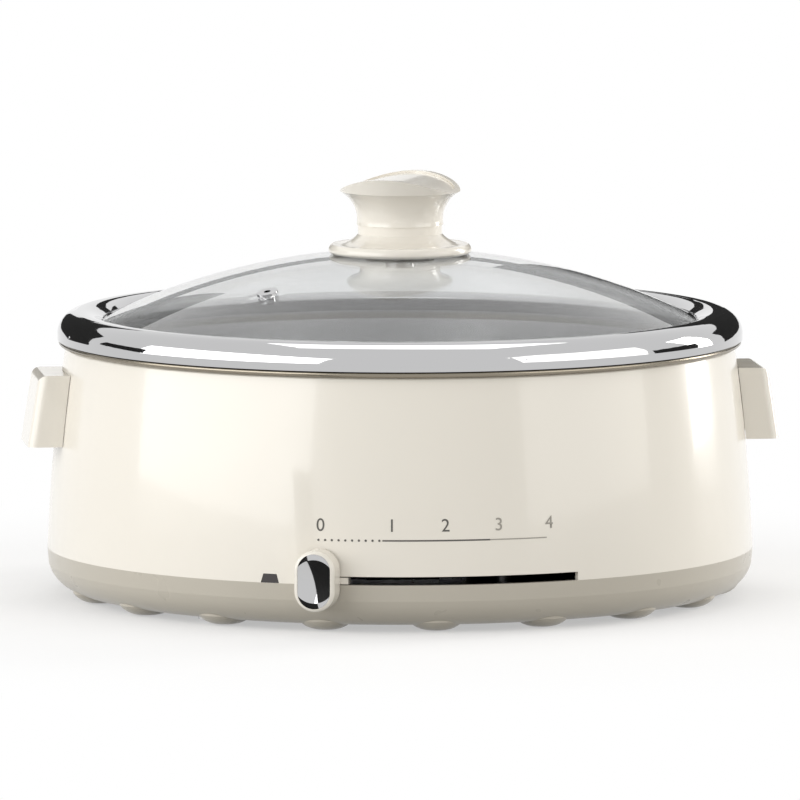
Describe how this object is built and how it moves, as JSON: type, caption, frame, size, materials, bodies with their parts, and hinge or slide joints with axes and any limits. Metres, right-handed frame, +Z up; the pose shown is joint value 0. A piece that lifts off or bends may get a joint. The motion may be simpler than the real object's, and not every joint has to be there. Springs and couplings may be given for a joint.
{
  "type": "electric hot pot",
  "caption": "Round electric hot pot with a lift-off glass lid, a removable inner pot, side ears and a sliding heat control.",
  "frame": {"origin": "on the table under the pot's axis, in the middle of the feet's circle", "axes": "+Z up, +X towards the right ear, front with the slider faces -Y"},
  "size_m": [0.3536, 0.3424, 0.1964],
  "materials": {
    "cream_gloss": "gloss moulded plastic",
    "grey_gloss": "satin gloss moulded plastic",
    "chrome": "polished",
    "steel": "brushed",
    "pot_coat": "smooth non-stick coat, polished rim",
    "glass": "clear tempered glass",
    "silicone": "soft silicone",
    "aluminium": "cast",
    "dark_plastic": "moulded",
    "brass": "plated pins",
    "lens": "smoked translucent",
    "lead_red": "sleeved wire"
  },
  "bodies": {
    "base": {"base_screw_1": "steel", "base_screw_2": "steel", "base_screw_3": "steel", "base_screw_4": "steel", "base_shell": "grey_gloss", "earth_lead": "lead_red", "heat_shield": "steel", "heater_plate": "aluminium", "heater_tube": "steel", "indicator_lamp": "lens", "indicator_lens": "lens", "inlet_pin_1": "brass", "inlet_pin_2": "brass", "inlet_pin_3": "brass", "inlet_screw_1": "steel", "inlet_screw_2": "steel", "inlet_socket": "dark_plastic", "lamp_stand": "dark_plastic", "left_handle": "cream_gloss", "left_handle_screw_1": "steel", "left_handle_screw_2": "steel", "live_lead": "lead_red", "neutral_lead": "lead_red", "plate_spacer_1": "steel", "plate_spacer_2": "steel", "plate_spacer_3": "steel", "right_handle": "cream_gloss", "right_handle_screw_1": "steel", "right_handle_screw_2": "steel", "shield_post_1": "steel", "shield_post_2": "steel", "shield_post_3": "steel", "switched_lead": "lead_red", "thermal_cutout": "dark_plastic", "thermostat_bracket": "steel", "thermostat_housing": "dark_plastic", "upper_shell": "cream_gloss"},
    "pot": {"inner_pot": "pot_coat"},
    "lid": {"lid_glass": "glass", "lid_ring": "chrome", "lid_gasket": "silicone", "vent_eyelet": "chrome", "knob_base": "cream_gloss", "knob_cup": "cream_gloss", "knob_washer": "silicone", "knob_bolt": "steel"},
    "slider": {"slider_lever": "steel", "thermostat_spindle": "steel", "lever_screw": "steel", "slider_neck": "cream_gloss", "slider_knob": "cream_gloss", "slider_insert": "chrome"}
  },
  "joints": [
    {"name": "pot_lift", "type": "slide", "parent": "base", "child": "pot", "axis": [0, 0, 1], "range_m": [0, 0.12]},
    {"name": "lid_lift", "type": "slide", "parent": "pot", "child": "lid", "axis": [0, 0, 1], "range_m": [0, 0.12]},
    {"name": "slider_turn", "type": "hinge", "parent": "base", "child": "slider", "pos_m": [0, 0, 0.0246], "axis": [0, 0, 1], "range_deg": [0, 37.4]}
  ]
}
